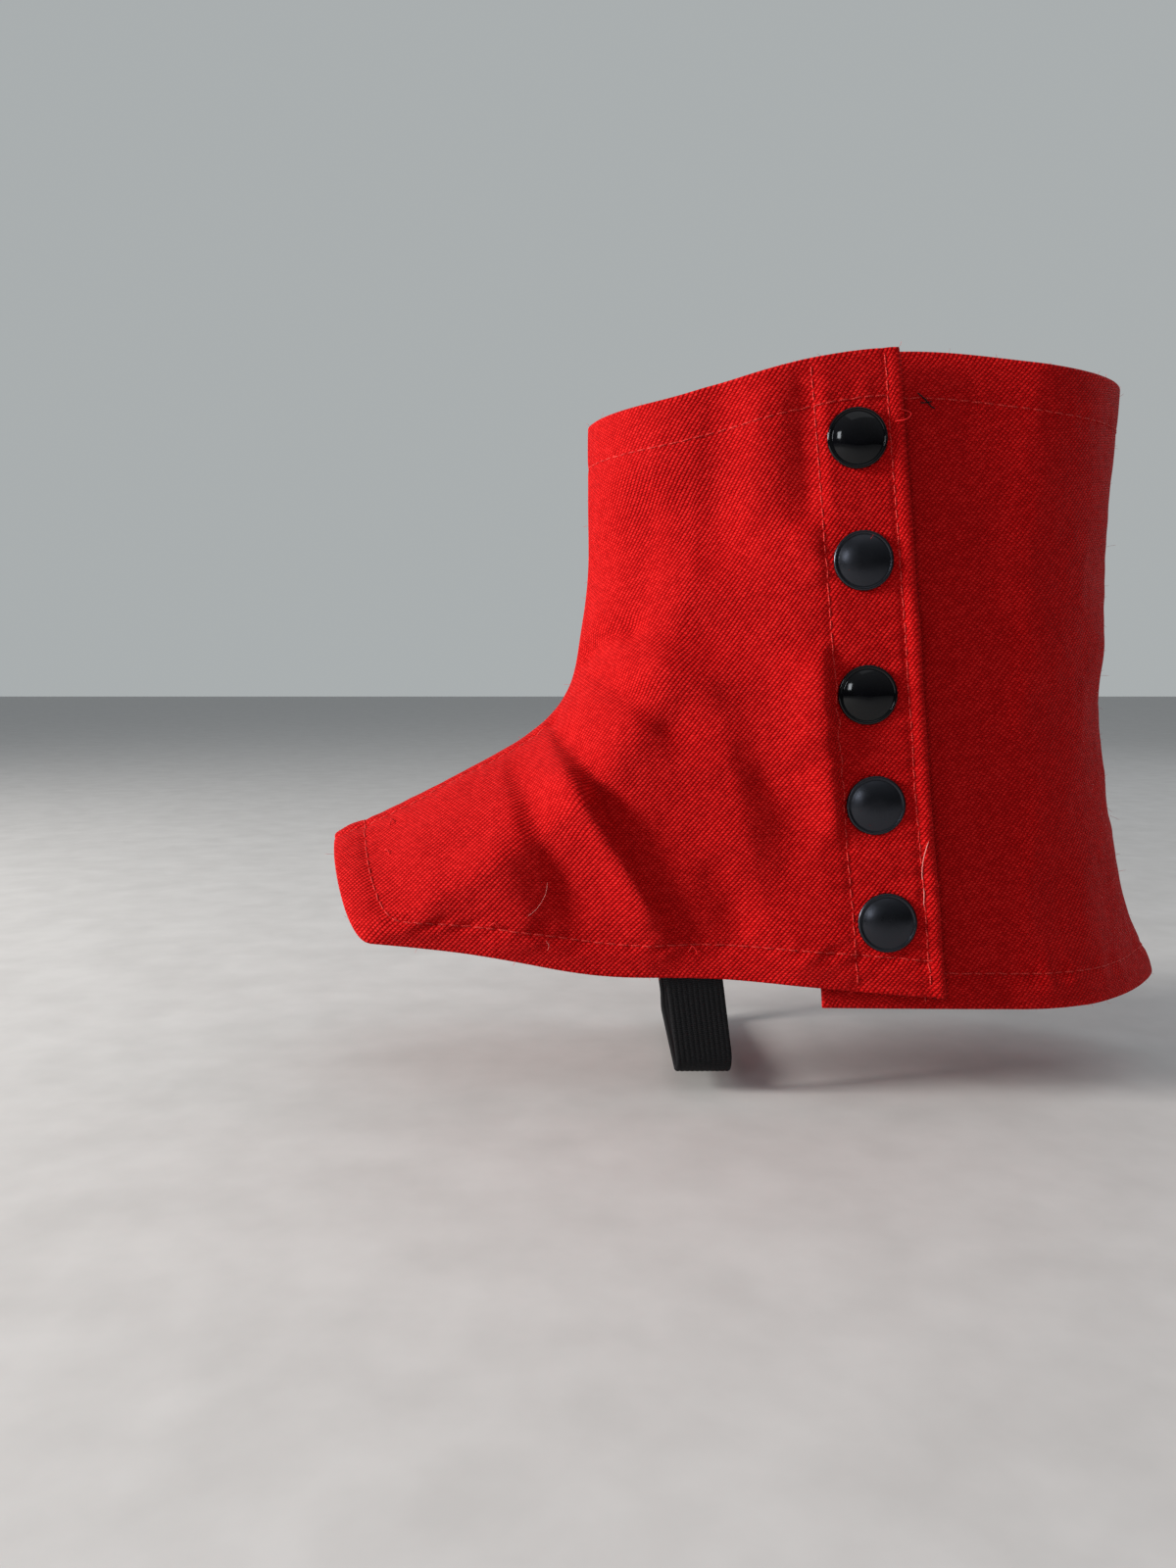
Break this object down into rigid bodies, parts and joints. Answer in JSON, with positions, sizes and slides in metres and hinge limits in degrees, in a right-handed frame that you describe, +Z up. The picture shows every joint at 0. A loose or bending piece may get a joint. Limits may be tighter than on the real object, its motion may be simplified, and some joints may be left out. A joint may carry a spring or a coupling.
{
  "type": "spat",
  "caption": "Short cloth gaiter for the instep and ankle of a shoe, worn shape, snap closure on the outer side, elastic stirrup under the sole.",
  "frame": {"origin": "on the axis of the shod ankle that the spat is worn on, about half way up the spat", "axes": "+X towards the heel, -X towards the toe; -Y towards the outer side with the closure; +Z up the leg"},
  "size_m": [0.2319, 0.0819, 0.182],
  "materials": {
    "twill": "matt cotton-blend twill, bright red, fine diagonal rib",
    "elastic": "black ribbed woven elastic",
    "black_metal": "glossy black enamel on a domed snap cap",
    "bare_metal": "plain nickel-coloured snap stud and eyelet"
  },
  "bodies": {
    "root": {"outer_front": "twill", "outer_back": "twill", "inner_panel": "twill", "strap": "elastic", "snap_cap_1": "black_metal", "snap_cap_2": "black_metal", "snap_cap_3": "black_metal", "snap_cap_4": "black_metal", "snap_cap_5": "black_metal", "snap_stud_1": "bare_metal", "snap_stud_2": "bare_metal", "snap_stud_3": "bare_metal", "snap_stud_4": "bare_metal", "snap_stud_5": "bare_metal"}
  },
  "joints": []
}
